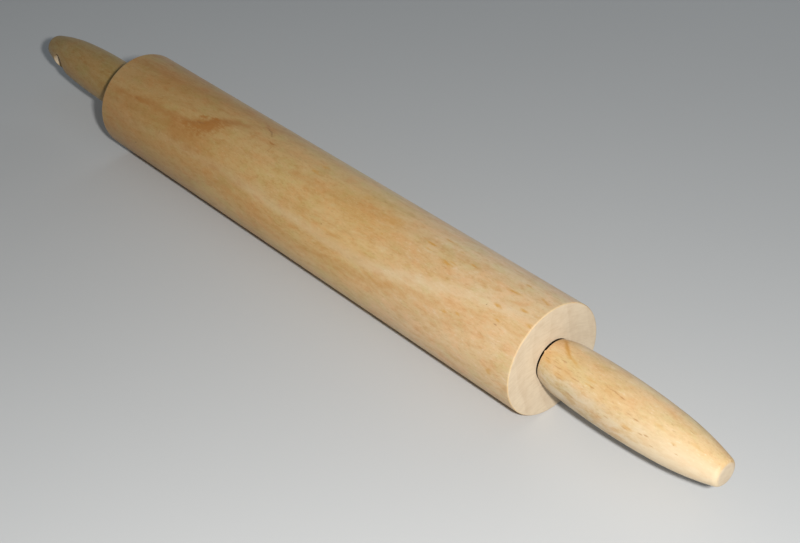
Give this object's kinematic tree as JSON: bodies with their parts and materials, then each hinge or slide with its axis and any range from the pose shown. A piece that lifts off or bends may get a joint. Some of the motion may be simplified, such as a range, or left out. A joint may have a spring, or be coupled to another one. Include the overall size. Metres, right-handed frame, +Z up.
{
  "type": "rolling pin",
  "caption": "Wooden rolling pin whose round barrel turns on ball bearings between two torpedo handles, one drilled for hanging.",
  "frame": {"origin": "middle of the barrel, on the axis that it turns on", "axes": "+X along the axis towards the plain handle, +Z up from the surface that the barrel lies on"},
  "size_m": [0.4113, 0.0444, 0.0444],
  "materials": {
    "barrel_wood": "bare, worn smooth",
    "handle_wood": "bare, worn smooth",
    "axle_steel": "cold drawn",
    "race_steel": "turned",
    "ball_steel": "polished",
    "cage_nylon": "moulded",
    "shield_steel": "stamped",
    "sleeve_steel": "drawn tube"
  },
  "bodies": {
    "handles_and_axle": {"plain_handle": "handle_wood", "hanging_handle": "handle_wood", "axle_rod": "axle_steel", "inner_race_plain_end": "race_steel", "inner_race_hanging_end": "race_steel", "spacer_sleeve_plain_end": "sleeve_steel", "spacer_sleeve_hanging_end": "sleeve_steel"},
    "barrel": {"barrel": "barrel_wood", "outer_race_plain_end": "race_steel", "outer_race_hanging_end": "race_steel", "dust_shield_plain_end": "shield_steel", "dust_shield_hanging_end": "shield_steel"},
    "ball_sets": {"bearing_balls": "ball_steel", "ball_cage_plain_end": "cage_nylon", "ball_cage_hanging_end": "cage_nylon"}
  },
  "joints": [
    {"name": "barrel_spin", "type": "hinge", "parent": "handles_and_axle", "child": "barrel", "pos_m": [0, 0, 0], "axis": [1, 0, 0], "continuous": true},
    {"name": "ball_set_spin", "type": "hinge", "parent": "handles_and_axle", "child": "ball_sets", "pos_m": [0, 0, 0], "axis": [1, 0, 0], "continuous": true}
  ],
  "couplings": [
    {"joint": "ball_set_spin", "follows": "barrel_spin", "ratio": 0.63043}
  ]
}
